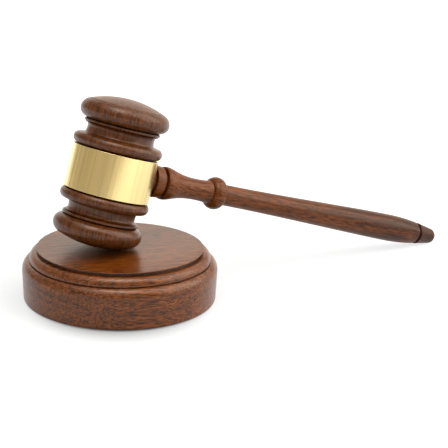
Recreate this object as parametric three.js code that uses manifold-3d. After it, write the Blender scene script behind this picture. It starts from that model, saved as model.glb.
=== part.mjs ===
// A judge's gavel lying on its round sound block, in millimetres, +Z up.
// The origin is on the table, at the centre of the block's felt, and +X is the way the handle points.
// The gavel is a turned head, a turned handle that sits in it on a round tenon, and a brass band
// round the head's waist. It stands on its lower dome, with the end of its handle on the table.
import * as THREE from 'three';
import { mergeVertices } from 'three/addons/utils/BufferGeometryUtils.js';
import Module from 'manifold-3d';

const wasm = await Module();
wasm.setup();

// Fits
const seatGap = 0.3;
const cutOverrun = 1;

// Sound block: radii step in from its widest, and heights add up from its felt pad
const blockRadius = 54;
const feltThickness = 0.5;
const feltInset = 2.5;
const footInset = 1.7;
const footEase = 1.8;
const sideDraft = 0.6;
const sideHeight = 17;
const shoulderInset = 3.9;
const shoulderRise = 5.2;
const shoulderGrooveDepth = 0.5;
const shoulderGrooveHeight = 0.5;
const blockBeadInset = 3.8;
const blockBeadSwell = 3.8;
const blockBeadRise = 4.4;
const plateInset = 7.9;
const plateThickness = 0.4;
const plateUndercut = 1.4;
const undercutHeight = 1.7;
const plateChamfer = 0.15;

// Brass band: a strip bent round the head's waist, whose ends stop beside the handle's collar
const bandWidth = 23.4;
const bandThickness = 0.4;
const bandEndClearance = 0.85;

// Gavel head: radii follow its waist, and heights add up from the band towards each end
const waistRadius = 23;
const headBeadProud = 1.6;
const headBeadSwell = 2.9;
const headBeadHalfHeight = 3.05;
const headBeadClearance = 0.2;
const waistGrooveDepth = 1.1;
const headBeadEndAngle = 102;
const ledgeRise = 0.6;
const ledgeWidth = 0.9;
const coveDepth = 4.5;
const coveFootSpread = 0.8;
const coveFootRise = 3.3;
const coveTopSpread = 1.7;
const coveTopRise = 2;
const ringDepth = 2;
const ringGap = 0.4;
const ringGapDepth = 1;
const ringHeight = 1.85;
const ringEase = 0.5;
const rimGrooveDepth = 1.3;
const rimGrooveWidth = 0.6;
const rimProud = 1.6;
const rimSwell = 5.65;
const rimInnerHeight = 5;
const rimOuterHeight = 5.85;
const domeInset = 4.1;
const domeCrown = 4.05;
const domeGrooveWidth = 0.6;
const domeGrooveDepth = 1;
const domeEdgeRise = 0.25;

// Handle: places add up along its axis from the shoulder that seats on the head's waist
const tenonRadius = 6.35;
const tenonLength = 28;
const tenonChamfer = 0.8;
const socketExtraDepth = 1.5;
const seatRadius = 7.2;
const seatLength = 1.6;
const collarRadius = 9.15;
const collarTaper = 0.4;
const collarEase = 0.5;
const collarLength = 7.1;
const collarGrooveDepth = 1.6;
const collarGrooveLength = 2;
const bellRadius = 9.3;
const bellSwell = 0.5;
const bellSwellLength = 1.6;
const bellLength = 21;
const neckRadius = 6;
const neckLength = 9.2;
const lipFlare = 0.65;
const lipGrooveDepth = 0.8;
const lipEdge = 0.2;
const ringBeadSwell = 3.35;
const ringBeadHalfLength = 4.4;
const gripStartRadius = 6.05;
const gripSwellRadius = 8.38;
const gripRiseLength = 130;
const gripFallLength = 23.2;
const gripEndRadius = 6.95;
const gripEndEase = 0.35;
const finialGrooveDepth = 1.3;
const finialGrooveLength = 2;
const finialInset = 0.2;
const finialBaseEase = 0.4;
const noseRadius = 4.9;
const noseReach = 11.2;

// Shares of the stretch that a turned curve crosses, where its control points lie
const bellCurveShares = [0.22, 0.38];
const neckCurveShare = 0.6;
const gripCurveShares = [0.3, 0.79];
const gripHollowShare = 0.97;
const gripEndCurveShare = 0.56;

// Where the gavel lies on the block
const headOffsetX = -5.1;
const headOffsetY = 1.9;
const gavelRoll = turn(2.1);

// Facets round a turned piece, and steps along its curves
const blockFacets = 60;
const headFacets = 44;
const handleFacets = 28;
const smallArcSteps = 3;
const curveSteps = 5;
const beadSteps = 9;
const gripSteps = 14;
const bandSteps = 28;

function turn(degrees) {
  return THREE.MathUtils.degToRad(degrees);
}

function at(radius, height) {
  return new THREE.Vector2(radius, height);
}

// A stretch of an ellipse in an outline: angle zero is its widest radius, a quarter turn is its top
function arc(centre, radial, axial, fromAngle, toAngle, steps) {
  const clockwise = toAngle < fromAngle;
  const curve = new THREE.EllipseCurve(centre.x, centre.y, radial, axial, fromAngle, toAngle, clockwise);
  return curve.getPoints(steps);
}

function asSolid(geometry) {
  geometry.deleteAttribute('normal');
  geometry.deleteAttribute('uv');
  const merged = mergeVertices(geometry);
  return new wasm.Manifold(new wasm.Mesh({
    numProp: 3,
    vertProperties: new Float32Array(merged.attributes.position.array),
    triVerts: new Uint32Array(merged.index.array),
  }));
}

function asGeometry(solid) {
  const mesh = solid.getMesh();
  const geometry = new THREE.BufferGeometry();
  geometry.setAttribute('position', new THREE.BufferAttribute(mesh.vertProperties, mesh.numProp));
  geometry.setIndex(new THREE.BufferAttribute(mesh.triVerts, 1));
  geometry.computeVertexNormals();
  return geometry;
}

// An outline from the foot of the axis to its top, turned about +Z
function turnedUpright(outline, facets) {
  const geometry = new THREE.LatheGeometry(outline, facets);
  geometry.rotateX(Math.PI / 2);
  return asSolid(geometry);
}

// The same outline turned about +X
function turnedAlong(outline, facets) {
  const geometry = new THREE.LatheGeometry(outline, facets);
  geometry.rotateZ(-Math.PI / 2);
  return asSolid(geometry);
}

function piece(name, solid, colour, roughness, metalness) {
  const material = new THREE.MeshStandardMaterial({ color: colour, roughness, metalness });
  const mesh = new THREE.Mesh(asGeometry(solid), material);
  mesh.name = name;
  return mesh;
}

// Heights of the block's turned features above the table
const footRadius = blockRadius - footInset;
const sideTop = feltThickness + sideHeight;
const shoulderTop = sideTop + shoulderRise;
const blockBeadBottom = shoulderTop + shoulderGrooveHeight;
const blockBeadTop = blockBeadBottom + blockBeadRise;
const plateBottom = blockBeadTop + undercutHeight;
const blockHeight = plateBottom + plateThickness;

function feltPad() {
  const feltRadius = footRadius - feltInset;
  const outline = [at(0, 0), at(feltRadius, 0), at(feltRadius, feltThickness), at(0, feltThickness)];
  return piece('block_felt_pad', turnedUpright(outline, blockFacets), 0x1f1d1b, 0.95, 0);
}

// Eased foot, drafted side, round shoulder, groove, bead, and a thin plate over an undercut
function soundBlock() {
  const footCentre = at(footRadius, feltThickness + footEase);
  const shoulderCentre = at(blockRadius - shoulderInset, sideTop);
  const grooveRadius = shoulderCentre.x - shoulderGrooveDepth;
  const beadCentre = at(blockRadius - blockBeadInset - blockBeadSwell, blockBeadBottom);
  const plateRadius = blockRadius - plateInset;
  const undercutRadius = plateRadius - plateUndercut;
  const outline = [
    at(0, feltThickness),
    ...arc(footCentre, footInset - sideDraft, footEase, -turn(90), 0, smallArcSteps),
    ...arc(shoulderCentre, shoulderInset, shoulderRise, 0, turn(90), curveSteps),
    at(grooveRadius, shoulderTop),
    at(grooveRadius, blockBeadBottom),
    ...arc(beadCentre, blockBeadSwell, blockBeadRise, 0, turn(90), curveSteps),
    at(undercutRadius, blockBeadTop),
    at(undercutRadius, plateBottom),
    at(plateRadius, plateBottom),
    at(plateRadius, blockHeight - plateChamfer),
    at(plateRadius - plateChamfer, blockHeight),
    at(0, blockHeight),
  ];
  return piece('sound_block', turnedUpright(outline, blockFacets), 0x6b4430, 0.4, 0);
}

// Heights of the head's turned features above its middle. The lower half mirrors the upper one
const waistTop = bandWidth / 2 + seatGap;
const headBeadCentre = waistTop + headBeadClearance + headBeadHalfHeight;
const coveFoot = headBeadCentre + headBeadHalfHeight + ledgeRise;
const coveMiddle = coveFoot + coveFootRise;
const coveTop = coveMiddle + coveTopRise;
const ringTop = coveTop + ringGap + ringHeight;
const coveRadius = waistRadius - coveDepth;
const ringRadius = waistRadius - ringDepth;
const rimRadius = waistRadius + rimProud;
const domeRadius = rimRadius - domeInset;
const domeSphere = (domeRadius ** 2 + domeCrown ** 2) / (2 * domeCrown);

// The groove at the band's edge, the round bead above it, and the ledge that the bead stands on
function headBeadPoints() {
  const core = waistRadius + headBeadProud - headBeadSwell;
  const startAngle = -Math.acos((waistRadius - core) / headBeadSwell);
  const centre = at(core, headBeadCentre);
  const ledgeRadius = coveRadius + coveFootSpread + ledgeWidth;
  const grooveRadius = waistRadius - waistGrooveDepth;
  return [
    at(waistRadius, waistTop - seatGap),
    at(grooveRadius, waistTop),
    at(grooveRadius, waistTop + headBeadClearance),
    ...arc(centre, headBeadSwell, headBeadHalfHeight, startAngle, turn(headBeadEndAngle), beadSteps),
    at(ledgeRadius, coveFoot - ledgeRise / 2),
  ];
}

// The hollow above the ledge, drawn as one arc below its narrowest radius and one above it
function covePoints() {
  const footCentre = at(coveRadius + coveFootSpread, coveMiddle);
  const topCentre = at(coveRadius + coveTopSpread, coveMiddle);
  return [
    ...arc(footCentre, coveFootSpread, coveFootRise, -turn(90), -turn(180), smallArcSteps),
    ...arc(topCentre, coveTopSpread, coveTopRise, turn(180), turn(90), smallArcSteps).slice(1),
  ];
}

// A thin ring between two sharp grooves, and the round rim of the striking end
const rimCore = rimRadius - rimSwell;
const rimFootAngle = Math.acos((ringRadius - rimCore) / rimSwell);
const rimCentre = ringTop + rimGrooveWidth / 2 + rimInnerHeight * Math.sin(rimFootAngle);
const rimEndAngle = Math.acos((domeRadius + domeGrooveWidth - rimCore) / rimSwell);
const domeEdge = rimCentre + rimOuterHeight * Math.sin(rimEndAngle) + domeEdgeRise;
const domeApex = domeEdge + domeCrown;

function rimPoints() {
  const widest = at(rimCore, rimCentre);
  return [
    at(coveRadius + coveTopSpread - ringGapDepth, coveTop + ringGap / 2),
    at(ringRadius - ringEase, coveTop + ringGap),
    at(ringRadius, coveTop + ringGap + ringEase),
    at(ringRadius, ringTop - ringEase),
    at(ringRadius - rimGrooveDepth, ringTop),
    ...arc(widest, rimSwell, rimInnerHeight, -rimFootAngle, 0, smallArcSteps),
    ...arc(widest, rimSwell, rimOuterHeight, 0, rimEndAngle, curveSteps).slice(1),
  ];
}

// The slightly domed striking face, set off from the rim by a fine groove
function domePoints() {
  const centre = at(0, domeApex - domeSphere);
  const edgeAngle = Math.acos(domeRadius / domeSphere);
  const face = arc(centre, domeSphere, domeSphere, edgeAngle, turn(90), curveSteps);
  face[curveSteps].x = 0;
  return [at(domeRadius + domeGrooveWidth / 2, domeEdge - domeEdgeRise - domeGrooveDepth), ...face];
}

// Blind round socket for the tenon, open on the handle's side of the waist
const shoulderPlace = waistRadius + seatGap;

function handleSocket() {
  const socketRadius = tenonRadius + seatGap;
  const bottom = shoulderPlace - tenonLength - socketExtraDepth;
  const mouth = waistRadius + cutOverrun;
  const outline = [at(0, bottom), at(socketRadius, bottom), at(socketRadius, mouth), at(0, mouth)];
  return turnedAlong(outline, handleFacets);
}

function gavelHead() {
  const upper = [...headBeadPoints(), ...covePoints(), ...rimPoints(), ...domePoints()];
  const lower = upper.map((point) => at(point.x, -point.y)).reverse();
  const solid = turnedUpright([...lower, ...upper], headFacets).subtract(handleSocket());
  return piece('gavel_head', solid, 0x6a402b, 0.4, 0);
}

// The band's gap is centred on the handle, and wide enough for its collar
function brassBand() {
  const innerRadius = waistRadius + seatGap;
  const outerRadius = innerRadius + bandThickness;
  const halfGap = Math.asin((collarRadius + bandEndClearance) / innerRadius);
  const strip = new THREE.Shape();
  strip.absarc(0, 0, outerRadius, halfGap, 2 * Math.PI - halfGap, false);
  strip.absarc(0, 0, innerRadius, 2 * Math.PI - halfGap, halfGap, true);
  strip.closePath();
  const geometry = new THREE.ExtrudeGeometry(strip, {
    depth: bandWidth,
    bevelEnabled: false,
    curveSegments: bandSteps,
  });
  geometry.translate(0, 0, -bandWidth / 2);
  return piece('brass_band', asSolid(geometry), 0xdcbf78, 0.28, 1);
}

// Places of the handle's turned features beyond its shoulder
const bellStart = collarLength + collarGrooveLength;
const bellTop = bellStart + bellSwellLength;
const neckPlace = bellTop + bellLength;
const lipPlace = neckPlace + neckLength;
const ringBeadCentre = lipPlace + lipEdge + ringBeadHalfLength;
const gripStart = ringBeadCentre + ringBeadHalfLength + lipEdge;
const gripSwellPlace = gripStart + gripRiseLength;
const gripEnd = gripSwellPlace + gripFallLength;
const finialBase = gripEnd + finialGrooveLength;
const nosePlace = finialBase + noseReach;

function tenonPoints() {
  return [
    at(0, -tenonLength),
    at(tenonRadius - tenonChamfer, -tenonLength),
    at(tenonRadius, -tenonLength + tenonChamfer),
    at(tenonRadius, 0),
  ];
}

// Low seat against the waist, a collar set off from it that tapers a little, and the groove behind it
function collarPoints() {
  const easeCentre = at(collarRadius - collarEase, seatLength + collarEase);
  const endRadius = collarRadius - collarTaper;
  const floorInset = collarGrooveLength / 4;
  return [
    at(seatRadius, 0),
    at(seatRadius, seatLength),
    ...arc(easeCentre, collarEase, collarEase, -turn(90), 0, smallArcSteps),
    at(endRadius, collarLength),
    at(endRadius - collarGrooveDepth, collarLength + floorInset),
    at(endRadius - collarGrooveDepth, bellStart - floorInset),
  ];
}

// Bell that swells behind the collar, falls to the neck and flares a little to its lip
function bellPoints() {
  const swellCentre = at(bellRadius - bellSwell, bellTop);
  const bell = new THREE.CubicBezierCurve(
    at(bellRadius, bellTop),
    at(bellRadius, bellTop + bellLength * bellCurveShares[0]),
    at(neckRadius, bellTop + bellLength * bellCurveShares[1]),
    at(neckRadius, neckPlace),
  );
  const flare = new THREE.QuadraticBezierCurve(
    at(neckRadius, neckPlace),
    at(neckRadius, neckPlace + neckLength * neckCurveShare),
    at(neckRadius + lipFlare, lipPlace),
  );
  return [
    ...arc(swellCentre, bellSwell, bellSwellLength, -turn(90), 0, smallArcSteps),
    ...bell.getPoints(beadSteps).slice(1),
    ...flare.getPoints(smallArcSteps).slice(1),
  ];
}

// Ring bead between the neck and the grip, behind a sharp groove at the lip
function ringBeadPoints() {
  const centre = at(neckRadius, ringBeadCentre);
  return [
    at(neckRadius + lipFlare - lipGrooveDepth, lipPlace + lipEdge),
    ...arc(centre, ringBeadSwell, ringBeadHalfLength, -turn(90), turn(90), beadSteps),
  ];
}

// Grip that swells towards the hand and draws in to the finial
function gripPoints() {
  const swell = new THREE.CubicBezierCurve(
    at(gripStartRadius, gripStart),
    at(gripStartRadius * gripHollowShare, gripStart + gripRiseLength * gripCurveShares[0]),
    at(gripSwellRadius, gripStart + gripRiseLength * gripCurveShares[1]),
    at(gripSwellRadius, gripSwellPlace),
  );
  const fall = new THREE.QuadraticBezierCurve(
    at(gripSwellRadius, gripSwellPlace),
    at(gripSwellRadius, gripSwellPlace + gripFallLength * gripEndCurveShare),
    at(gripEndRadius, gripEnd - gripEndEase),
  );
  return [
    ...swell.getPoints(gripSteps),
    ...fall.getPoints(curveSteps).slice(1),
    at(gripEndRadius - gripEndEase, gripEnd),
  ];
}

// Finial: a groove, a cone, and a round nose that the cone runs into without a corner
function finialPoints() {
  const grooveRadius = gripEndRadius - finialGrooveDepth;
  const baseRadius = gripEndRadius - finialInset;
  const coneRun = noseReach - finialBaseEase;
  const noseAngle = Math.acos(noseRadius / Math.hypot(coneRun, baseRadius)) - Math.atan2(coneRun, baseRadius);
  const nose = arc(at(0, nosePlace), noseRadius, noseRadius, noseAngle, turn(90), curveSteps);
  nose[curveSteps].x = 0;
  return [
    at(grooveRadius, gripEnd),
    at(grooveRadius, finialBase),
    at(baseRadius - finialBaseEase, finialBase),
    at(baseRadius, finialBase + finialBaseEase),
    ...nose,
  ];
}

function gavelHandle() {
  const outline = [...tenonPoints(), ...collarPoints(), ...bellPoints(), ...ringBeadPoints(),
    ...gripPoints(), ...finialPoints()];
  const handle = piece('gavel_handle', turnedAlong(outline, handleFacets), 0x6e4631, 0.42, 0);
  handle.position.x = shoulderPlace;
  return handle;
}

// The gavel leans until its lower dome is on the block and its nose is on the table
function lyingGavel() {
  const domeCentre = (domeSphere - domeApex) * Math.cos(gavelRoll);
  const noseCentre = shoulderPlace + nosePlace;
  const fall = blockHeight + seatGap + domeSphere - noseRadius;
  const lean = Math.asin(fall / Math.hypot(domeCentre, noseCentre)) - Math.atan2(domeCentre, noseCentre);
  const gavel = new THREE.Group();
  gavel.add(gavelHead(), brassBand(), gavelHandle());
  gavel.position.set(headOffsetX, headOffsetY, noseRadius + noseCentre * Math.sin(lean));
  gavel.rotation.set(-gavelRoll, lean, 0, 'YXZ');
  return gavel;
}

const gavelAndBlock = new THREE.Group();
gavelAndBlock.add(soundBlock(), feltPad(), lyingGavel());

export default gavelAndBlock;
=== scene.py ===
"""A judge's gavel lying on its round sound block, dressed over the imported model."""
import math

import bpy
from mathutils import Matrix, Vector


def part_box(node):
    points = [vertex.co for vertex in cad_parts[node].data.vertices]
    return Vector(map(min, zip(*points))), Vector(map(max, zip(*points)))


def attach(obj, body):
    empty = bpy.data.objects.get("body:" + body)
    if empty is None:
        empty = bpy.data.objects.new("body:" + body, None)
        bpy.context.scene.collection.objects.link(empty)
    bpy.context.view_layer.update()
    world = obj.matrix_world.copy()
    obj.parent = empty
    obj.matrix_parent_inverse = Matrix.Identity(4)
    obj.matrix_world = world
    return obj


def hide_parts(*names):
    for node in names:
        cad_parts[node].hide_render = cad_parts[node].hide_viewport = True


bl_info = {
    "name": "Gavel and sound block",
    "version": (1, 0, 0),
    "blender": (4, 5, 0),
    "location": "View3D > Sidebar > Gavel",
    "description": "Builds a turned walnut gavel with a brass band, its sound block and a studio",
    "category": "Add Mesh",
}

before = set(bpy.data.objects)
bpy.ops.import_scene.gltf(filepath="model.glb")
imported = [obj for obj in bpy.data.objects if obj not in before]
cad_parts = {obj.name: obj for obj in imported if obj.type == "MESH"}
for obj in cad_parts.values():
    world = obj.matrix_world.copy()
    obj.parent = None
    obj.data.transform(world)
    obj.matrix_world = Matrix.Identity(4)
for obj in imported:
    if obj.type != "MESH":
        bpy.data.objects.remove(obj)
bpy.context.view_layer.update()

# Lengths of the outlines and of the grain are in millimetres, and the meshes are in metres
MM = 0.001

# Left open under the striking face and the handle's shoulder, and behind and beside the band
SEAT_GAP = 0.3

# Sound block: radii step in from its widest, and heights add up from its felt
FELT_THICKNESS = 0.5
FELT_INSET = 2.5
FOOT_INSET = 1.7
FOOT_EASE = 1.8
SIDE_DRAFT = 0.6
SIDE_HEIGHT = 17.0
SHOULDER_INSET = 3.9
SHOULDER_RISE = 5.2
SHOULDER_GROOVE_DEPTH = 0.5
SHOULDER_GROOVE_HEIGHT = 0.5
BLOCK_BEAD_INSET = 3.8
BLOCK_BEAD_SWELL = 3.8
BLOCK_BEAD_RISE = 4.4
PLATE_INSET = 7.9
PLATE_UNDERCUT = 1.4
UNDERCUT_HEIGHT = 1.7

# Brass band: a strip bent round the waist, whose ends stop beside the collar
BAND_END_CLEARANCE = 0.85

# Head: radii follow its waist, and heights add up from the band towards each end
HEAD_BEAD_PROUD = 1.6
HEAD_BEAD_SWELL = 2.9
HEAD_BEAD_HALF_HEIGHT = 3.05
HEAD_BEAD_CLEARANCE = 0.2
HEAD_BEAD_END_ANGLE = 102
WAIST_GROOVE_DEPTH = 1.1
LEDGE_RISE = 0.6
LEDGE_WIDTH = 0.9
COVE_DEPTH = 4.5
COVE_FOOT_SPREAD = 0.8
COVE_FOOT_RISE = 3.3
COVE_TOP_SPREAD = 1.7
COVE_TOP_RISE = 2.0
RING_DEPTH = 2.0
RING_GAP = 0.4
RING_GAP_DEPTH = 1.0
RING_HEIGHT = 1.85
RING_EASE = 0.5
RIM_GROOVE_DEPTH = 1.3
RIM_GROOVE_WIDTH = 0.6
RIM_SWELL = 5.65
RIM_INNER_HEIGHT = 5.0
RIM_OUTER_HEIGHT = 5.85
DOME_INSET = 4.1
DOME_GROOVE_WIDTH = 0.6
DOME_GROOVE_DEPTH = 1.0
DOME_EDGE_RISE = 0.25

# Handle: places add up along its axis from the shoulder that seats on the waist
TENON_RADIUS = 6.35
TENON_LENGTH = 28.0
TENON_CHAMFER = 0.8
SEAT_RADIUS = 7.2
SEAT_LENGTH = 1.6
COLLAR_TAPER = 0.4
COLLAR_EASE = 0.5
COLLAR_LENGTH = 7.1
COLLAR_GROOVE_DEPTH = 1.6
COLLAR_GROOVE_LENGTH = 2.0
BELL_SWELL = 0.5
BELL_SWELL_LENGTH = 1.6
BELL_LENGTH = 21.0
BELL_CURVE_SHARES = (0.22, 0.38)
NECK_LENGTH = 9.2
NECK_CURVE_SHARE = 0.6
LIP_FLARE = 0.65
LIP_GROOVE_DEPTH = 0.8
LIP_EDGE = 0.2
RING_BEAD_SWELL = 3.35
RING_BEAD_HALF_LENGTH = 4.4
GRIP_START_RADIUS = 6.05
GRIP_FALL_LENGTH = 23.2
GRIP_CURVE_SHARES = (0.3, 0.79)
GRIP_HOLLOW_SHARE = 0.97
GRIP_END_CURVE_SHARE = 0.56
GRIP_END_RADIUS = 6.95
GRIP_END_EASE = 0.35
FINIAL_GROOVE_DEPTH = 1.3
FINIAL_GROOVE_LENGTH = 2.0
FINIAL_INSET = 0.2
FINIAL_BASE_EASE = 0.4
NOSE_REACH = 11.2

# How finely the pieces are drawn
BLOCK_SEGMENTS = 288
HEAD_SEGMENTS = 176
HANDLE_SEGMENTS = 96
ARC_STEPS = 16
SMALL_ARC_STEPS = 8
CURVE_STEPS = 28
GRIP_STEPS = 90
LONGEST_STEP = 1.6
ON_AXIS = 1e-6

# How sharp corners are rounded. The flat held beside each round keeps the shading of the flat faces,
# and the shares limit both where an edge is short
SHARP_TURN = math.radians(24)
CORNER_STEPS = 3
CORNER_REACH = 0.14
CORNER_REACH_SHARE = 0.4
CORNER_HOLD = 0.12
CORNER_HOLD_SHARE = 0.1

# Walnut: how long each mark is along the grain and how wide across it, and how strongly it shows
WANDER_SIZES = (95, 38, 38)
RING_SPACING = 3.4
RING_STRENGTH = 0.4
STREAK_SIZES = (35, 2.2, 2.2)
STREAK_STRENGTH = 0.5
STREAK_RELIEF = 6.0
PORE_SIZES = (7, 0.75, 0.75)
PORE_SHADE = 0.4
FIBRE_SIZES = (6, 0.75, 0.75)
LACQUER_RELIEF = 0.05
BLOCK_GRAIN_TURN = math.radians(-12)

# Where in their pattern the pores start and are full, and the tones of the three walnut colours
PORE_EDGE = 0.52
PORE_MIDDLE = 0.66
DEEP_TONE = 0.34
MIDDLE_TONE = 0.47
LIGHT_TONE = 0.62

# Painted shade in the grooves and corners reaches this far. The more closed in the wood is, the darker it
# is painted
PAINTED_SHADE_REACH = 2
PAINTED_SHADE_START = 0.85
PAINTED_SHADE_FULL = 0.25
PAINTED_SHADE_DARKEST = 0.15

# Brass: how wide each mark is round the head, and how long along its axis. Felt: its nap
POLISH_STREAK_SIZES = (1.2, 1.2, 90)
FLAT_SIZES = (5, 5, 300)
FLAT_RELIEF = 0.35
NAP_SIZES = (0.4, 0.4, 0.4)
NAP_RELIEF = 0.15

# The middle of a soft random pattern, and the range where most of its values lie
PATTERN_MIDDLE = (0.5, 0.5, 0.5)
PATTERN_RANGE = {"From Min": 0.3, "From Max": 0.7}

# Studio, in metres from here on. The bright wall lies behind the gavel, and its light starts and is
# full at these cosines of the angle from its direction
ROOM_LIGHT = 0.5
WALL_LIGHT = 1.5
WALL_DIRECTION = (0.79, 0.61, 0.0)
WALL_EDGE = 0.1
WALL_MIDDLE = 0.85

# The paper has a painted glow, left out round a middle in front of the block so that a shadow stays
# there. It rises with the distance from that middle, first steeply and then slowly
FLOOR_REACH = 6.0
PAINTED_SHADOW_MIDDLE = (-0.0114, -0.0223, 0)
NEAR_GLOW = 0.585
NEAR_GLOW_START = 0.018
NEAR_GLOW_END = 0.052
FAR_GLOW = 0.65
FAR_GLOW_START = 0.12
FAR_GLOW_END = 0.6

# Softboxes: name, place, side, watts, and whether the matt colours and the gloss take their light
SOFTBOXES = (
    ("overhead_softbox", (-0.15, -0.29, 1.15), 1.5, 12.5, True, True),
    ("gloss_softbox", (-0.14, -0.27, 1.07), 0.5, 6, False, True),
    ("left_softbox", (-1.7, -0.2, 1.1), 2.2, 20, True, False),
    ("right_softbox", (1.42, -1.05, 1.25), 2.2, 56, True, True),
)

FILM_WIDTH = 36
CLIP_START = 0.01
CLIP_END = 50


def linear(colour):
    """Linear red, green, blue and alpha of an sRGB hex value."""
    channels = [int(colour[place:place + 2], 16) / 255 for place in (1, 3, 5)]
    return [c / 12.92 if c <= 0.04045 else ((c + 0.055) / 1.055) ** 2.4 for c in channels] + [1.0]


def size_property(name, description, default):
    """A length that a user may change, given in millimetres."""
    return bpy.props.FloatProperty(name=name, description=description, default=default * MM,
                                   min=0.0, precision=5, unit="LENGTH")


def place_property(name, description, default):
    """A place that a user may change, given in millimetres from the block's axis."""
    return bpy.props.FloatProperty(name=name, description=description, default=default * MM,
                                   unit="LENGTH")


def angle_property(name, description, default):
    """An angle that a user may change, given in degrees."""
    return bpy.props.FloatProperty(name=name, description=description, default=math.radians(default),
                                   subtype="ANGLE")


def colour_property(name, description, default):
    """A colour that a user may change, given as an sRGB hex value."""
    return bpy.props.FloatVectorProperty(name=name, description=description, size=4,
                                         default=linear(default), min=0.0, max=1.0, subtype="COLOR")


class GavelSizes(bpy.types.PropertyGroup):
    """Main sizes of the block, head, band and handle."""

    block_radius: bpy.props.FloatProperty(
        name="Block radius", description="Widest radius of the sound block",
        default=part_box("sound_block")[1].x, unit="LENGTH")
    block_height: bpy.props.FloatProperty(
        name="Block height", description="Height of the striking plate above the table",
        default=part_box("sound_block")[1].z, unit="LENGTH")
    waist_radius: size_property("Waist radius", "Radius of the head under the band", 23.0)
    rim_proud: size_property("Rim", "How far the striking rims stand out past the waist", 1.6)
    dome_crown: size_property("Dome crown", "Rise of each striking face", 4.05)
    band_width: size_property("Band width", "Width of the brass strip", 23.4)
    band_thickness: size_property("Band thickness", "Thickness of the brass strip", 0.4)
    collar_radius: size_property("Collar radius", "Radius of the collar at the head", 9.15)
    bell_radius: size_property("Bell radius", "Widest radius of the bell behind the collar", 9.3)
    neck_radius: size_property("Neck radius", "Narrowest radius of the handle", 6.0)
    grip_radius: size_property("Grip radius", "Widest radius of the grip", 8.38)
    grip_length: size_property("Grip length", "From the ring bead to the widest grip", 130.0)
    nose_radius: size_property("Nose radius", "Radius of the rounded end", 4.9)
    head_x: place_property("Head X", "Place of the head's middle from the block's axis", -5.1)
    head_y: place_property("Head Y", "Place of the head's middle from the block's axis", 1.9)
    roll: angle_property("Roll", "Turn of the gavel about its handle", 2.1)


class GavelColours(bpy.types.PropertyGroup):
    """Colours of the finishes."""

    walnut_deep: colour_property("Walnut, deep", "Late wood and dark streaks", "#351806")
    walnut_mid: colour_property("Walnut, middle", "Ground colour of the stained wood", "#532A08")
    walnut_light: colour_property("Walnut, light", "Early wood and flecks", "#60320B")
    brass: colour_property("Brass", "Polished yellow brass", "#EAD395")
    felt: colour_property("Felt", "Pressed wool felt", "#1F1D1B")
    floor: colour_property("Floor", "Matt paper, before its glow whitens it", "#9099A3")
    light: colour_property("Light", "Warm white of the lamps and walls", "#FFF1E2")


class GavelStudio(bpy.types.PropertyGroup):
    """Where the camera stands, and how it looks."""

    azimuth: angle_property("Azimuth", "Where the camera stands round the block", -27.08)
    elevation: angle_property("Elevation", "How far the camera looks down", 19.04)
    distance: size_property("Distance", "From the camera to the block", 684.94)
    aim_height: size_property("Aim height", "Height that the camera circles round", 15.0)
    pan: angle_property("Pan", "Turn of the camera to the right", 4.82)
    tilt: angle_property("Tilt", "Turn of the camera upwards", 2.23)
    level: angle_property("Level", "Turn of the camera about its own axis", -0.31)
    lens: bpy.props.FloatProperty(
        name="Lens", description="Focal length for a 36 mm wide picture", default=98.42)


def arc(centre, radial, axial, start, end, steps):
    """Points of an ellipse in an outline: 0 degrees is its widest radius, 90 is its top."""
    points = []
    for step in range(steps + 1):
        angle = math.radians(start + (end - start) * step / steps)
        points.append(Vector((centre[0] + radial * math.cos(angle), centre[1] + axial * math.sin(angle))))
    return points


def curve(controls, steps):
    """Points of a Bezier curve in an outline, from two, three or four control points."""
    points = []
    for step in range(steps + 1):
        share = step / steps
        level = [Vector(control) for control in controls]
        while len(level) > 1:
            level = [a.lerp(b, share) for a, b in zip(level, level[1:])]
        points.append(level[0])
    return points


def eased(outline):
    """The outline with its sharp corners rounded, and long stretches cut into short steps."""
    points = [Vector(point) for point in outline]
    rounded = [points[0]]
    for before, corner, after in zip(points, points[1:], points[2:]):
        arriving, leaving = corner - before, after - corner
        if arriving.angle(leaving) < SHARP_TURN:
            rounded.append(corner)
            continue
        shorter = min(arriving.length, leaving.length)
        reach = min(CORNER_REACH, CORNER_REACH_SHARE * shorter)
        hold = min(CORNER_HOLD, CORNER_HOLD_SHARE * shorter)
        arriving.normalize()
        leaving.normalize()
        rounded.append(corner - arriving * (reach + hold))
        rounded += curve([corner - arriving * reach, corner, corner + leaving * reach], CORNER_STEPS)
        rounded.append(corner + leaving * (reach + hold))
    rounded.append(points[-1])
    fine = [rounded[0]]
    for start, end in zip(rounded, rounded[1:]):
        count = max(1, math.ceil((end - start).length / LONGEST_STEP))
        fine += [start.lerp(end, step / count) for step in range(1, count + 1)]
    return fine


def piece(name, points, faces, place):
    """A mesh from points in millimetres, smooth all over, set in its place."""
    mesh = bpy.data.meshes.new(name)
    mesh.from_pydata([Vector(point) * MM for point in points], [], faces)
    mesh.transform(place)
    mesh.polygons.foreach_set("use_smooth", [True] * len(mesh.polygons))
    mesh.validate()
    mesh.update()
    made = bpy.data.objects.new(name, mesh)
    bpy.context.scene.collection.objects.link(made)
    return made


def turned(name, outline, segments, upright, place):
    """A closed piece turned about +Z, or about +X, from an outline of radii and heights."""
    def put(radius, height, angle):
        across, beside = radius * math.cos(angle), radius * math.sin(angle)
        return (across, beside, height) if upright else (height, across, beside)

    points, rows, faces = [], [], []
    for radius, height in outline:
        count = 1 if radius < ON_AXIS else segments
        rows.append(range(len(points), len(points) + count))
        points += [put(radius, height, 2 * math.pi * step / segments) for step in range(count)]
    for low, high in zip(rows, rows[1:]):
        for step in range(segments):
            following = (step + 1) % segments
            corners = [low[step % len(low)], low[following % len(low)],
                       high[following % len(high)], high[step % len(high)]]
            faces.append(list(dict.fromkeys(corners)))
    return piece(name, points, faces, place)


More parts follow.
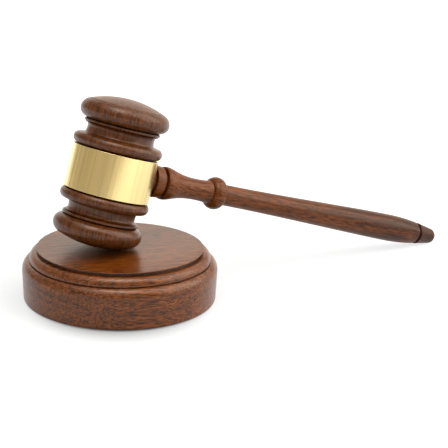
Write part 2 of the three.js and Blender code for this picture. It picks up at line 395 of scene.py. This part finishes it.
def bent_strip(name, section, end_angle, segments, place):
    """A strip of this section, bent about +Z from one closed end round to the other."""
    points, faces = [], []
    for step in range(segments + 1):
        angle = end_angle + (2 * math.pi - 2 * end_angle) * step / segments
        points += [(radius * math.cos(angle), radius * math.sin(angle), height)
                   for radius, height in section]
    count = len(section)
    for step in range(segments):
        for corner in range(count):
            following = (corner + 1) % count
            faces.append([step * count + corner, (step + 1) * count + corner,
                          (step + 1) * count + following, step * count + following])
    faces.append(list(range(count)))
    faces.append(list(reversed(range(segments * count, (segments + 1) * count))))
    return piece(name, points, faces, place)


def dress(made, material, body, solid):
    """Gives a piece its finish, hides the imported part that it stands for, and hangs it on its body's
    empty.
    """
    made.data.materials.append(material)
    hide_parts(solid)
    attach(made, body)


def block_outline(sizes):
    """Eased foot, drafted side, round shoulder, groove, bead, and a thin plate over an undercut."""
    radius, top = sizes.block_radius / MM, sizes.block_height / MM
    side_top = FELT_THICKNESS + SIDE_HEIGHT
    shoulder_top = side_top + SHOULDER_RISE
    bead_bottom = shoulder_top + SHOULDER_GROOVE_HEIGHT
    bead_top = bead_bottom + BLOCK_BEAD_RISE
    plate_bottom = bead_top + UNDERCUT_HEIGHT
    groove = radius - SHOULDER_INSET - SHOULDER_GROOVE_DEPTH
    plate = radius - PLATE_INSET
    undercut = plate - PLATE_UNDERCUT
    return [
        (0, FELT_THICKNESS),
        *arc((radius - FOOT_INSET, FELT_THICKNESS + FOOT_EASE),
             FOOT_INSET - SIDE_DRAFT, FOOT_EASE, -90, 0, SMALL_ARC_STEPS),
        *arc((radius - SHOULDER_INSET, side_top), SHOULDER_INSET, SHOULDER_RISE, 0, 90, ARC_STEPS),
        (groove, shoulder_top),
        (groove, bead_bottom),
        *arc((radius - BLOCK_BEAD_INSET - BLOCK_BEAD_SWELL, bead_bottom),
             BLOCK_BEAD_SWELL, BLOCK_BEAD_RISE, 0, 90, ARC_STEPS),
        (undercut, bead_top),
        (undercut, plate_bottom),
        (plate, plate_bottom),
        (plate, top),
        (0, top),
    ]


def felt_outline(sizes):
    """A flat round pad, set in from the block's foot."""
    radius = sizes.block_radius / MM - FOOT_INSET - FELT_INSET
    return [(0, 0), (radius, 0), (radius, FELT_THICKNESS), (0, FELT_THICKNESS)]


class HeadPlaces:
    """Radii, and heights above the head's middle, of what is turned on its upper half."""

    def __init__(self, sizes):
        self.waist = sizes.waist_radius / MM
        self.waist_top = sizes.band_width / MM / 2 + SEAT_GAP
        self.bead = self.waist_top + HEAD_BEAD_CLEARANCE + HEAD_BEAD_HALF_HEIGHT
        self.cove_foot = self.bead + HEAD_BEAD_HALF_HEIGHT + LEDGE_RISE
        self.cove = self.cove_foot + COVE_FOOT_RISE
        self.ring_bottom = self.cove + COVE_TOP_RISE + RING_GAP
        self.ring_top = self.ring_bottom + RING_HEIGHT
        self.bead_core = self.waist + HEAD_BEAD_PROUD - HEAD_BEAD_SWELL
        self.cove_radius = self.waist - COVE_DEPTH
        self.ring_radius = self.waist - RING_DEPTH
        self.rim_core = self.waist + sizes.rim_proud / MM - RIM_SWELL
        self.dome_radius = self.waist + sizes.rim_proud / MM - DOME_INSET
        self.crown = sizes.dome_crown / MM
        self.sphere = (self.dome_radius ** 2 + self.crown ** 2) / (2 * self.crown)
        self.bead_start_angle = math.acos((self.waist - self.bead_core) / HEAD_BEAD_SWELL)
        self.rim_foot_angle = math.acos((self.ring_radius - self.rim_core) / RIM_SWELL)
        self.rim = self.ring_top + RIM_GROOVE_WIDTH / 2 + RIM_INNER_HEIGHT * math.sin(self.rim_foot_angle)
        self.rim_end_angle = math.acos((self.dome_radius + DOME_GROOVE_WIDTH - self.rim_core) / RIM_SWELL)
        self.dome_edge = self.rim + RIM_OUTER_HEIGHT * math.sin(self.rim_end_angle) + DOME_EDGE_RISE
        self.dome_start_angle = math.acos(self.dome_radius / self.sphere)
        self.apex = self.dome_edge + self.crown


def head_outline(sizes):
    """Groove, bead, ledge, hollow, ring, rim and dome of the upper half, and their mirror below."""
    at = HeadPlaces(sizes)
    groove = at.waist - WAIST_GROOVE_DEPTH
    cove_foot_edge = at.cove_radius + COVE_FOOT_SPREAD
    cove_top_edge = at.cove_radius + COVE_TOP_SPREAD
    upper = [
        (at.waist, at.waist_top - SEAT_GAP),
        (groove, at.waist_top),
        (groove, at.waist_top + HEAD_BEAD_CLEARANCE),
        *arc((at.bead_core, at.bead), HEAD_BEAD_SWELL, HEAD_BEAD_HALF_HEIGHT,
             -math.degrees(at.bead_start_angle), HEAD_BEAD_END_ANGLE, 2 * ARC_STEPS),
        (cove_foot_edge + LEDGE_WIDTH, at.cove_foot - LEDGE_RISE / 2),
        *arc((cove_foot_edge, at.cove), COVE_FOOT_SPREAD, COVE_FOOT_RISE, -90, -180, ARC_STEPS),
        *arc((cove_top_edge, at.cove), COVE_TOP_SPREAD, COVE_TOP_RISE, 180, 90, ARC_STEPS)[1:],
        (cove_top_edge - RING_GAP_DEPTH, at.ring_bottom - RING_GAP / 2),
        (at.ring_radius - RING_EASE, at.ring_bottom),
        (at.ring_radius, at.ring_bottom + RING_EASE),
        (at.ring_radius, at.ring_top - RING_EASE),
        (at.ring_radius - RIM_GROOVE_DEPTH, at.ring_top),
        *arc((at.rim_core, at.rim), RIM_SWELL, RIM_INNER_HEIGHT,
             -math.degrees(at.rim_foot_angle), 0, ARC_STEPS),
        *arc((at.rim_core, at.rim), RIM_SWELL, RIM_OUTER_HEIGHT,
             0, math.degrees(at.rim_end_angle), 2 * ARC_STEPS)[1:],
        (at.dome_radius + DOME_GROOVE_WIDTH / 2, at.dome_edge - DOME_EDGE_RISE - DOME_GROOVE_DEPTH),
        *arc((0, at.apex - at.sphere), at.sphere, at.sphere,
             math.degrees(at.dome_start_angle), 90, ARC_STEPS),
    ]
    lower = [(radius, -height) for radius, height in reversed(upper)]
    return lower + upper


class HandlePlaces:
    """Places of what is turned on the handle, beyond its shoulder."""

    def __init__(self, sizes):
        self.bell = COLLAR_LENGTH + COLLAR_GROOVE_LENGTH
        self.bell_top = self.bell + BELL_SWELL_LENGTH
        self.neck = self.bell_top + BELL_LENGTH
        self.lip = self.neck + NECK_LENGTH
        self.ring_bead = self.lip + LIP_EDGE + RING_BEAD_HALF_LENGTH
        self.grip = self.ring_bead + RING_BEAD_HALF_LENGTH + LIP_EDGE
        self.swell = self.grip + sizes.grip_length / MM
        self.grip_end = self.swell + GRIP_FALL_LENGTH
        self.finial = self.grip_end + FINIAL_GROOVE_LENGTH
        self.nose = self.finial + NOSE_REACH


def handle_outline(sizes):
    """Tenon, seat, collar, bell, neck, ring bead, grip and finial."""
    at = HandlePlaces(sizes)
    collar, bell, neck = sizes.collar_radius / MM, sizes.bell_radius / MM, sizes.neck_radius / MM
    grip, nose = sizes.grip_radius / MM, sizes.nose_radius / MM
    collar_end = collar - COLLAR_TAPER
    collar_groove = collar_end - COLLAR_GROOVE_DEPTH
    groove_floor_inset = COLLAR_GROOVE_LENGTH / 4
    grip_run = at.swell - at.grip
    finial_groove = GRIP_END_RADIUS - FINIAL_GROOVE_DEPTH
    finial_base = GRIP_END_RADIUS - FINIAL_INSET
    cone_run = NOSE_REACH - FINIAL_BASE_EASE
    nose_angle = math.acos(nose / math.hypot(cone_run, finial_base)) - math.atan2(cone_run, finial_base)
    return [
        (0, -TENON_LENGTH),
        (TENON_RADIUS - TENON_CHAMFER, -TENON_LENGTH),
        (TENON_RADIUS, TENON_CHAMFER - TENON_LENGTH),
        (TENON_RADIUS, 0),
        (SEAT_RADIUS, 0),
        (SEAT_RADIUS, SEAT_LENGTH),
        *arc((collar - COLLAR_EASE, SEAT_LENGTH + COLLAR_EASE),
             COLLAR_EASE, COLLAR_EASE, -90, 0, SMALL_ARC_STEPS),
        (collar_end, COLLAR_LENGTH),
        (collar_groove, COLLAR_LENGTH + groove_floor_inset),
        (collar_groove, at.bell - groove_floor_inset),
        *arc((bell - BELL_SWELL, at.bell_top), BELL_SWELL, BELL_SWELL_LENGTH, -90, 0, SMALL_ARC_STEPS),
        *curve([(bell, at.bell_top), (bell, at.bell_top + BELL_LENGTH * BELL_CURVE_SHARES[0]),
                (neck, at.bell_top + BELL_LENGTH * BELL_CURVE_SHARES[1]), (neck, at.neck)],
               CURVE_STEPS)[1:],
        *curve([(neck, at.neck), (neck, at.neck + NECK_LENGTH * NECK_CURVE_SHARE),
                (neck + LIP_FLARE, at.lip)], SMALL_ARC_STEPS)[1:],
        (neck + LIP_FLARE - LIP_GROOVE_DEPTH, at.lip + LIP_EDGE),
        *arc((neck, at.ring_bead), RING_BEAD_SWELL, RING_BEAD_HALF_LENGTH, -90, 90, 2 * ARC_STEPS),
        *curve([(GRIP_START_RADIUS, at.grip),
                (GRIP_START_RADIUS * GRIP_HOLLOW_SHARE, at.grip + grip_run * GRIP_CURVE_SHARES[0]),
                (grip, at.grip + grip_run * GRIP_CURVE_SHARES[1]), (grip, at.swell)], GRIP_STEPS),
        *curve([(grip, at.swell), (grip, at.swell + GRIP_FALL_LENGTH * GRIP_END_CURVE_SHARE),
                (GRIP_END_RADIUS, at.grip_end - GRIP_END_EASE)], CURVE_STEPS)[1:],
        (GRIP_END_RADIUS - GRIP_END_EASE, at.grip_end),
        (finial_groove, at.grip_end),
        (finial_groove, at.finial),
        (finial_base - FINIAL_BASE_EASE, at.finial),
        (finial_base, at.finial + FINIAL_BASE_EASE),
        *arc((0, at.nose), nose, nose, math.degrees(nose_angle), 90, ARC_STEPS),
    ]


def gavel_place(sizes):
    """Where the gavel lies: its lower dome on the block, and its nose on the table."""
    head, handle = HeadPlaces(sizes), HandlePlaces(sizes)
    nose = sizes.nose_radius / MM
    dome_centre = (head.sphere - head.apex) * math.cos(sizes.roll)
    nose_centre = head.waist + SEAT_GAP + handle.nose
    fall = sizes.block_height / MM + SEAT_GAP + head.sphere - nose
    lean = math.asin(fall / math.hypot(dome_centre, nose_centre)) - math.atan2(dome_centre, nose_centre)
    height = (nose + nose_centre * math.sin(lean)) * MM
    return (Matrix.Translation((sizes.head_x, sizes.head_y, height))
            @ Matrix.Rotation(lean, 4, "Y") @ Matrix.Rotation(-sizes.roll, 4, "X"))


def node(tree, kind, inputs=None, **settings):
    """Adds a node. A setting is an attribute of it, and an input is a value or a socket to link."""
    made = tree.nodes.new(kind)
    for key, value in settings.items():
        setattr(made, key, value)
    for key, value in (inputs or {}).items():
        if isinstance(value, bpy.types.NodeSocket):
            tree.links.new(value, made.inputs[key])
        else:
            made.inputs[key].default_value = value
    return made


def new_material(name):
    """An empty material with its output node."""
    material = bpy.data.materials.new(name)
    material.use_nodes = True
    material.node_tree.nodes.clear()
    return material, material.node_tree, node(material.node_tree, "ShaderNodeOutputMaterial")


def millimetres_along(tree, axes):
    """Where a point of the surface lies along these axes, in millimetres."""
    coordinates = node(tree, "ShaderNodeTexCoord")
    own_axes = node(tree, "ShaderNodeMapping", {"Vector": coordinates.outputs["Object"],
                                                "Location": axes.to_translation(),
                                                "Rotation": axes.to_euler("XYZ")}, vector_type="TEXTURE")
    in_mm = node(tree, "ShaderNodeVectorMath", {0: own_axes.outputs[0], "Scale": 1 / MM},
                 operation="SCALE")
    return in_mm.outputs[0]


def marks(tree, space, sizes, detail, roughness=0.5):
    """A soft random pattern whose marks have about these sizes along the three axes of the space."""
    stretched = node(tree, "ShaderNodeVectorMath", {0: space, 1: [1 / size for size in sizes]},
                     operation="MULTIPLY")
    return node(tree, "ShaderNodeTexNoise", {"Vector": stretched.outputs[0], "Scale": 1,
                                             "Detail": detail, "Roughness": roughness})


def walnut_grain(tree, in_mm, pith, wavering):
    """The patterns of year rings, dark streaks and open pores, in a blank with its grain along +X."""
    # The tree grew unevenly: its rings wander by a few millimetres over some centimetres
    wander = marks(tree, in_mm, WANDER_SIZES, 2)
    centred = node(tree, "ShaderNodeVectorMath", {0: wander.outputs["Color"], 1: PATTERN_MIDDLE},
                   operation="SUBTRACT")
    pushed = node(tree, "ShaderNodeVectorMath", {0: centred.outputs[0], "Scale": wavering},
                  operation="SCALE")
    wavy = node(tree, "ShaderNodeVectorMath", {0: in_mm, 1: pushed.outputs[0]}, operation="ADD")

    # Year rings 2 to 5 mm wide, some of them much darker in their late wood
    across = node(tree, "ShaderNodeVectorMath", {0: wavy.outputs[0], 1: (0, 1, 1)}, operation="MULTIPLY")
    from_pith = node(tree, "ShaderNodeVectorMath", {0: across.outputs[0], 1: (0, *pith)},
                     operation="DISTANCE")
    ring_place = node(tree, "ShaderNodeMath", {0: from_pith.outputs["Value"], 1: 1 / RING_SPACING},
                      operation="MULTIPLY")
    rings = node(tree, "ShaderNodeTexNoise", {"W": ring_place.outputs[0], "Scale": 1, "Detail": 3,
                                              "Roughness": 0.6}, noise_dimensions="1D")
    # Dark streaks of a millimetre or two that run for some centimetres
    streaks = marks(tree, wavy.outputs[0], STREAK_SIZES, 3)
    # Pores are 0.2 mm across and up to 5 mm long. They are drawn coarser, to show in the picture
    pores = marks(tree, wavy.outputs[0], PORE_SIZES, 1)
    return rings.outputs[0], streaks.outputs[0], pores.outputs[0]


def lacquered_walnut(name, blank, colours, *, pith, wavering, shade, flecking, start, drift, lacquer):
    """American black walnut, stained red-brown, turned, and sprayed with satin lacquer.

    The wood is one solid block of grain that the turned piece is cut out of, so long grain shows as
    lines and streaks, and end grain as rings and dots. The open pores show as short dark dashes, and
    the lacquer over them gives a soft sheen that whitens where the surface turns away.

    blank: the place of that block of wood, whose grain runs along its X
    pith: where the middle of the tree lay across the blank, in millimetres
    wavering: how far the year rings wander, in millimetres
    shade: how light the wood is
    flecking: how strongly its fibres show
    start, drift: its tone at the blank's middle, and the change for each millimetre along it
    lacquer: how full the coat of lacquer is
    """
    material, tree, output = new_material(name)
    in_mm = millimetres_along(tree, blank)
    rings, streaks, pores = walnut_grain(tree, in_mm, pith, wavering)
    # Fibres and rays: fine light and dark specks, drawn about three times as coarse as they are
    fibres = marks(tree, in_mm, FIBRE_SIZES, 2, 0.7)

    # The tone changes steadily along the blank. On the handle this is painted shade, darker towards the
    # nose
    places = node(tree, "ShaderNodeSeparateXYZ", {0: in_mm})
    drifted = node(tree, "ShaderNodeMath", {0: places.outputs["X"], 1: drift, 2: start},
                   operation="MULTIPLY_ADD")
    ringed = node(tree, "ShaderNodeMath", {0: rings, 1: RING_STRENGTH, 2: drifted.outputs[0]},
                  operation="MULTIPLY_ADD")
    streaked = node(tree, "ShaderNodeMath", {0: streaks, 1: STREAK_STRENGTH, 2: ringed.outputs[0]},
                    operation="MULTIPLY_ADD")
    ground = node(tree, "ShaderNodeValToRGB", {"Fac": streaked.outputs[0]})
    deep, light = ground.color_ramp.elements
    deep.position, deep.color = DEEP_TONE, colours.walnut_deep
    light.position, light.color = LIGHT_TONE, colours.walnut_light
    ground.color_ramp.elements.new(MIDDLE_TONE).color = colours.walnut_mid
    fleck = node(tree, "ShaderNodeMapRange", {**PATTERN_RANGE, "Value": fibres.outputs[0],
                                              "To Min": (1 - flecking) * shade,
                                              "To Max": (1 + flecking) * shade})
    flecked = node(tree, "ShaderNodeVectorMath", {0: ground.outputs[0], "Scale": fleck.outputs[0]},
                   operation="SCALE")
    dash = node(tree, "ShaderNodeMapRange", {"Value": pores, "From Min": PORE_EDGE,
                                             "From Max": PORE_MIDDLE, "To Min": 1.0,
                                             "To Max": PORE_SHADE},
                interpolation_type="SMOOTHSTEP")
    dashed = node(tree, "ShaderNodeVectorMath", {0: flecked.outputs[0], "Scale": dash.outputs[0]},
                  operation="SCALE")

    # Painted shade darkens the turned grooves and corners, the more the more closed in they are
    hollow = node(tree, "ShaderNodeAmbientOcclusion", {"Distance": PAINTED_SHADE_REACH * MM}, samples=8,
                  only_local=True)
    painted_groove_shade = node(tree, "ShaderNodeMapRange", {"Value": hollow.outputs["AO"],
                                                 "From Min": PAINTED_SHADE_FULL, "From Max": PAINTED_SHADE_START,
                                                 "To Min": PAINTED_SHADE_DARKEST, "To Max": 1.0})
    coloured = node(tree, "ShaderNodeVectorMath", {0: dashed.outputs[0], "Scale": painted_groove_shade.outputs[0]},
                    operation="SCALE")

    # The lacquer sinks a few hundredths of a millimetre into the softer streaks and the pores
    height = node(tree, "ShaderNodeMath", {0: streaks, 1: STREAK_RELIEF, 2: dash.outputs[0]},
                  operation="MULTIPLY_ADD")
    grain_relief = node(tree, "ShaderNodeBump", {"Height": height.outputs[0], "Strength": 0.4,
                                                 "Distance": LACQUER_RELIEF * MM})
    # The lacquer wets the wood, so all of the gloss is the lacquer's own
    surface = node(tree, "ShaderNodeBsdfPrincipled", {
        "Base Color": coloured.outputs[0], "Roughness": 0.6, "Specular IOR Level": 0.0,
        "Coat Weight": lacquer, "Coat Roughness": 0.28, "Coat IOR": 1.42,
        "Normal": grain_relief.outputs[0], "Coat Normal": grain_relief.outputs[0]})
    tree.links.new(surface.outputs[0], output.inputs["Surface"])
    return material


def polished_brass(place, colours):
    """Rolled brass sheet, polished and bent by hand round the head.

    It is pale gold. Fine polishing streaks run along the head's axis, and the bending left slight
    flats, which break up what it mirrors into soft upright stripes.
    """
    material, tree, output = new_material("polished_rolled_brass")
    in_mm = millimetres_along(tree, place)
    streaks = marks(tree, in_mm, POLISH_STREAK_SIZES, 3)
    tint = node(tree, "ShaderNodeMapRange", {**PATTERN_RANGE, "Value": streaks.outputs[0],
                                             "To Min": 0.9, "To Max": 1.06})
    coloured = node(tree, "ShaderNodeVectorMath", {0: tuple(colours.brass)[:3],
                                                   "Scale": tint.outputs[0]}, operation="SCALE")
    rough = node(tree, "ShaderNodeMapRange", {**PATTERN_RANGE, "Value": streaks.outputs[0],
                                              "To Min": 0.2, "To Max": 0.28})
    bends = marks(tree, in_mm, FLAT_SIZES, 2)
    flats = node(tree, "ShaderNodeBump", {"Height": bends.outputs[0], "Strength": 1.0,
                                          "Distance": FLAT_RELIEF * MM})
    surface = node(tree, "ShaderNodeBsdfPrincipled", {
        "Base Color": coloured.outputs[0], "Metallic": 1.0, "Roughness": rough.outputs[0],
        "Normal": flats.outputs[0]})
    tree.links.new(surface.outputs[0], output.inputs["Surface"])
    return material


def pressed_felt(colours):
    """Pressed wool felt: matt and near black, with a short nap of tangled fibres."""
    material, tree, output = new_material("pressed_wool_felt")
    nap = marks(tree, millimetres_along(tree, Matrix.Identity(4)), NAP_SIZES, 3)
    shade = node(tree, "ShaderNodeMapRange", {**PATTERN_RANGE, "Value": nap.outputs[0],
                                              "To Min": 0.6, "To Max": 1.6})
    coloured = node(tree, "ShaderNodeVectorMath", {0: tuple(colours.felt)[:3],
                                                   "Scale": shade.outputs[0]}, operation="SCALE")
    fuzz = node(tree, "ShaderNodeBump", {"Height": nap.outputs[0], "Strength": 0.8,
                                         "Distance": NAP_RELIEF * MM})
    surface = node(tree, "ShaderNodeBsdfPrincipled", {
        "Base Color": coloured.outputs[0], "Roughness": 0.95, "Sheen Weight": 0.4,
        "Normal": fuzz.outputs[0]})
    tree.links.new(surface.outputs[0], output.inputs["Surface"])
    return material


class GAVEL_OT_sound_block(bpy.types.Operator):
    """Turn the walnut sound block"""

    bl_idname = "gavel.sound_block"
    bl_label = "Sound block"

    def execute(self, context):
        scene = context.scene
        made = turned("walnut_sound_block", eased(block_outline(scene.gavel_sizes)), BLOCK_SEGMENTS,
                      True, Matrix.Identity(4))
        material = lacquered_walnut(
            "lacquered_walnut_block", Matrix.Rotation(BLOCK_GRAIN_TURN, 4, "Z"), scene.gavel_colours,
            pith=(-20, -75), wavering=9, shade=1.15, flecking=0.7, start=0.06, drift=0.0007, lacquer=1.0)
        dress(made, material, "block", "sound_block")
        return {"FINISHED"}


class GAVEL_OT_felt_pad(bpy.types.Operator):
    """Cut the felt pad under the block"""

    bl_idname = "gavel.felt_pad"
    bl_label = "Felt pad"

    def execute(self, context):
        scene = context.scene
        made = turned("felt_pad", eased(felt_outline(scene.gavel_sizes)), BLOCK_SEGMENTS, True,
                      Matrix.Identity(4))
        dress(made, pressed_felt(scene.gavel_colours), "block", "block_felt_pad")
        return {"FINISHED"}


class GAVEL_OT_head(bpy.types.Operator):
    """Turn the walnut head"""

    bl_idname = "gavel.head"
    bl_label = "Head"

    def execute(self, context):
        scene = context.scene
        place = gavel_place(scene.gavel_sizes)
        made = turned("walnut_head", eased(head_outline(scene.gavel_sizes)), HEAD_SEGMENTS, True, place)
        # Its grain runs from one striking face to the other
        blank = place @ Matrix.Rotation(math.radians(-90), 4, "Y")
        material = lacquered_walnut(
            "lacquered_walnut_head", blank, scene.gavel_colours,
            pith=(20, 60), wavering=5, shade=0.72, flecking=0.5, start=0.08, drift=0.0, lacquer=0.85)
        dress(made, material, "gavel", "gavel_head")
        return {"FINISHED"}


class GAVEL_OT_band(bpy.types.Operator):
    """Bend the brass band round the waist"""

    bl_idname = "gavel.band"
    bl_label = "Brass band"

    def execute(self, context):
        scene = context.scene
        sizes = scene.gavel_sizes
        place = gavel_place(sizes)
        inner = sizes.waist_radius / MM + SEAT_GAP
        outer = inner + sizes.band_thickness / MM
        half = sizes.band_width / MM / 2
        end_angle = math.asin((sizes.collar_radius / MM + BAND_END_CLEARANCE) / inner)
        section = [(outer, 0), (outer, half), (inner, half), (inner, -half), (outer, -half), (outer, 0)]
        made = bent_strip("brass_strip", eased(section)[:-1], end_angle, HEAD_SEGMENTS, place)
        dress(made, polished_brass(place, scene.gavel_colours), "gavel", "brass_band")
        return {"FINISHED"}


class GAVEL_OT_handle(bpy.types.Operator):
    """Turn the walnut handle"""

    bl_idname = "gavel.handle"
    bl_label = "Handle"

    def execute(self, context):
        scene = context.scene
        sizes = scene.gavel_sizes
        shoulder = Matrix.Translation((sizes.waist_radius + SEAT_GAP * MM, 0, 0))
        place = gavel_place(sizes) @ shoulder
        made = turned("walnut_handle", eased(handle_outline(sizes)), HANDLE_SEGMENTS, False, place)
        # Its drift is painted shade, which darkens the handle towards the nose
        material = lacquered_walnut(
            "lacquered_walnut_handle", place, scene.gavel_colours,
            pith=(25, 30), wavering=4, shade=1.08, flecking=0.45, start=0.16, drift=-0.0015, lacquer=0.6)
        dress(made, material, "gavel", "gavel_handle")
        return {"FINISHED"}


class GAVEL_OT_studio(bpy.types.Operator):
    """Lay the floor, and set the lights and the camera"""

    bl_idname = "gavel.studio"
    bl_label = "Studio"

    def execute(self, context):
        scene = context.scene
        self.lay_floor(scene)
        self.light_walls(scene)
        for softbox in SOFTBOXES:
            self.hang_softbox(scene, *softbox)
        self.set_camera(scene)
        scene.view_settings.view_transform = "Standard"
        return {"FINISHED"}

    def lay_floor(self, scene):
        """Matt paper with a painted glow, which whitens it away from the block but not round its foot."""
        mesh = bpy.data.meshes.new("paper_floor")
        mesh.from_pydata([(-FLOOR_REACH, -FLOOR_REACH, 0), (FLOOR_REACH, -FLOOR_REACH, 0),
                          (FLOOR_REACH, FLOOR_REACH, 0), (-FLOOR_REACH, FLOOR_REACH, 0)],
                         [], [(0, 1, 2, 3)])
        floor = bpy.data.objects.new("paper_floor", mesh)
        scene.collection.objects.link(floor)
        material, tree, output = new_material("matt_paper_painted_glow")
        place = node(tree, "ShaderNodeTexCoord")
        # Painted shadow: the glow is left out round the block's foot, most in front of it
        to_painted_shadow = node(tree, "ShaderNodeVectorMath", {0: place.outputs["Object"], 1: PAINTED_SHADOW_MIDDLE},
                        operation="DISTANCE")
        near = node(tree, "ShaderNodeMapRange", {"Value": to_painted_shadow.outputs["Value"],
                                                 "From Min": NEAR_GLOW_START, "From Max": NEAR_GLOW_END,
                                                 "To Min": 0.0, "To Max": NEAR_GLOW},
                    interpolation_type="SMOOTHSTEP")
        far = node(tree, "ShaderNodeMapRange", {"Value": to_painted_shadow.outputs["Value"],
                                                "From Min": FAR_GLOW_START, "From Max": FAR_GLOW_END,
                                                "To Min": 0.0, "To Max": FAR_GLOW})
        glow = node(tree, "ShaderNodeMath", {0: near.outputs[0], 1: far.outputs[0]}, operation="ADD")
        surface = node(tree, "ShaderNodeBsdfPrincipled", {
            "Base Color": scene.gavel_colours.floor, "Roughness": 0.9, "Specular IOR Level": 0.0,
            "Emission Color": (1, 1, 1, 1), "Emission Strength": glow.outputs[0]})
        tree.links.new(surface.outputs[0], output.inputs["Surface"])
        mesh.materials.append(material)

    def light_walls(self, scene):
        """A dim room whose wall behind the table is bright."""
        world = bpy.data.worlds.new("studio_walls")
        world.use_nodes = True
        tree = world.node_tree
        outward = node(tree, "ShaderNodeTexCoord")
        towards_wall = node(tree, "ShaderNodeVectorMath",
                            {0: outward.outputs["Generated"], 1: WALL_DIRECTION},
                            operation="DOT_PRODUCT")
        light = node(tree, "ShaderNodeMapRange", {"Value": towards_wall.outputs["Value"],
                                                  "From Min": WALL_EDGE, "From Max": WALL_MIDDLE,
                                                  "To Min": ROOM_LIGHT, "To Max": WALL_LIGHT},
                     interpolation_type="SMOOTHSTEP")
        background = tree.nodes["Background"]
        tree.links.new(light.outputs[0], background.inputs["Strength"])
        background.inputs["Color"].default_value = scene.gavel_colours.light
        scene.world = world

    def hang_softbox(self, scene, name, place, side, watts, lights_matt, lights_gloss):
        """A square light, turned to face the gavel."""
        data = bpy.data.lights.new(name, "AREA")
        data.shape, data.size, data.energy = "SQUARE", side, watts
        data.color = tuple(scene.gavel_colours.light)[:3]
        made = bpy.data.objects.new(name, data)
        made.location = place
        made.visible_diffuse, made.visible_glossy = lights_matt, lights_gloss
        made.rotation_mode = "QUATERNION"
        made.rotation_quaternion = (-Vector(place)).to_track_quat("-Z", "Y")
        scene.collection.objects.link(made)

    def set_camera(self, scene):
        """Stands the camera where the photograph was taken from."""
        studio = scene.gavel_studio
        azimuth, elevation = studio.azimuth, studio.elevation
        back = Vector((math.sin(azimuth) * math.cos(elevation), -math.cos(azimuth) * math.cos(elevation),
                       math.sin(elevation)))
        ahead, right = -back, Vector((math.cos(azimuth), math.sin(azimuth), 0))
        up = right.cross(ahead)
        pan = Matrix.Rotation(-studio.pan, 3, up)
        ahead, right = pan @ ahead, pan @ right
        tilt = Matrix.Rotation(studio.tilt, 3, right)
        ahead, up = tilt @ ahead, tilt @ up
        level = Matrix.Rotation(studio.level, 3, ahead)
        right, up = level @ right, level @ up
        data = bpy.data.cameras.new("camera")
        data.sensor_width, data.lens = FILM_WIDTH, studio.lens
        data.clip_start, data.clip_end = CLIP_START, CLIP_END
        camera = bpy.data.objects.new("camera", data)
        stand = Matrix.Translation(back * studio.distance + Vector((0, 0, studio.aim_height)))
        camera.matrix_world = stand @ Matrix((right, up, -ahead)).transposed().to_4x4()
        scene.collection.objects.link(camera)
        scene.camera = camera


OPERATORS = (GAVEL_OT_sound_block, GAVEL_OT_felt_pad, GAVEL_OT_head, GAVEL_OT_band, GAVEL_OT_handle,
             GAVEL_OT_studio)


class GAVEL_PT_panel(bpy.types.Panel):
    """Lists the pieces and the studio, with their sizes and colours"""

    bl_idname = "GAVEL_PT_panel"
    bl_label = "Gavel"
    bl_space_type = "VIEW_3D"
    bl_region_type = "UI"
    bl_category = "Gavel"

    def draw(self, context):
        layout = self.layout
        for operator in OPERATORS:
            layout.operator(operator.bl_idname)
        for group in (context.scene.gavel_sizes, context.scene.gavel_colours, context.scene.gavel_studio):
            box = layout.box()
            for key in group.__annotations__:
                box.prop(group, key)


CLASSES = (GavelSizes, GavelColours, GavelStudio, *OPERATORS, GAVEL_PT_panel)


def register():
    """Adds the classes and the scene's settings."""
    for cls in CLASSES:
        bpy.utils.register_class(cls)
    bpy.types.Scene.gavel_sizes = bpy.props.PointerProperty(type=GavelSizes)
    bpy.types.Scene.gavel_colours = bpy.props.PointerProperty(type=GavelColours)
    bpy.types.Scene.gavel_studio = bpy.props.PointerProperty(type=GavelStudio)


def unregister():
    """Takes them away again."""
    del bpy.types.Scene.gavel_sizes, bpy.types.Scene.gavel_colours, bpy.types.Scene.gavel_studio
    for cls in reversed(CLASSES):
        bpy.utils.unregister_class(cls)


def main():
    """Builds every piece and the studio."""
    register()
    bpy.ops.gavel.studio()
    bpy.ops.gavel.sound_block()
    bpy.ops.gavel.felt_pad()
    bpy.ops.gavel.head()
    bpy.ops.gavel.band()
    bpy.ops.gavel.handle()


if __name__ == "__main__":
    main()
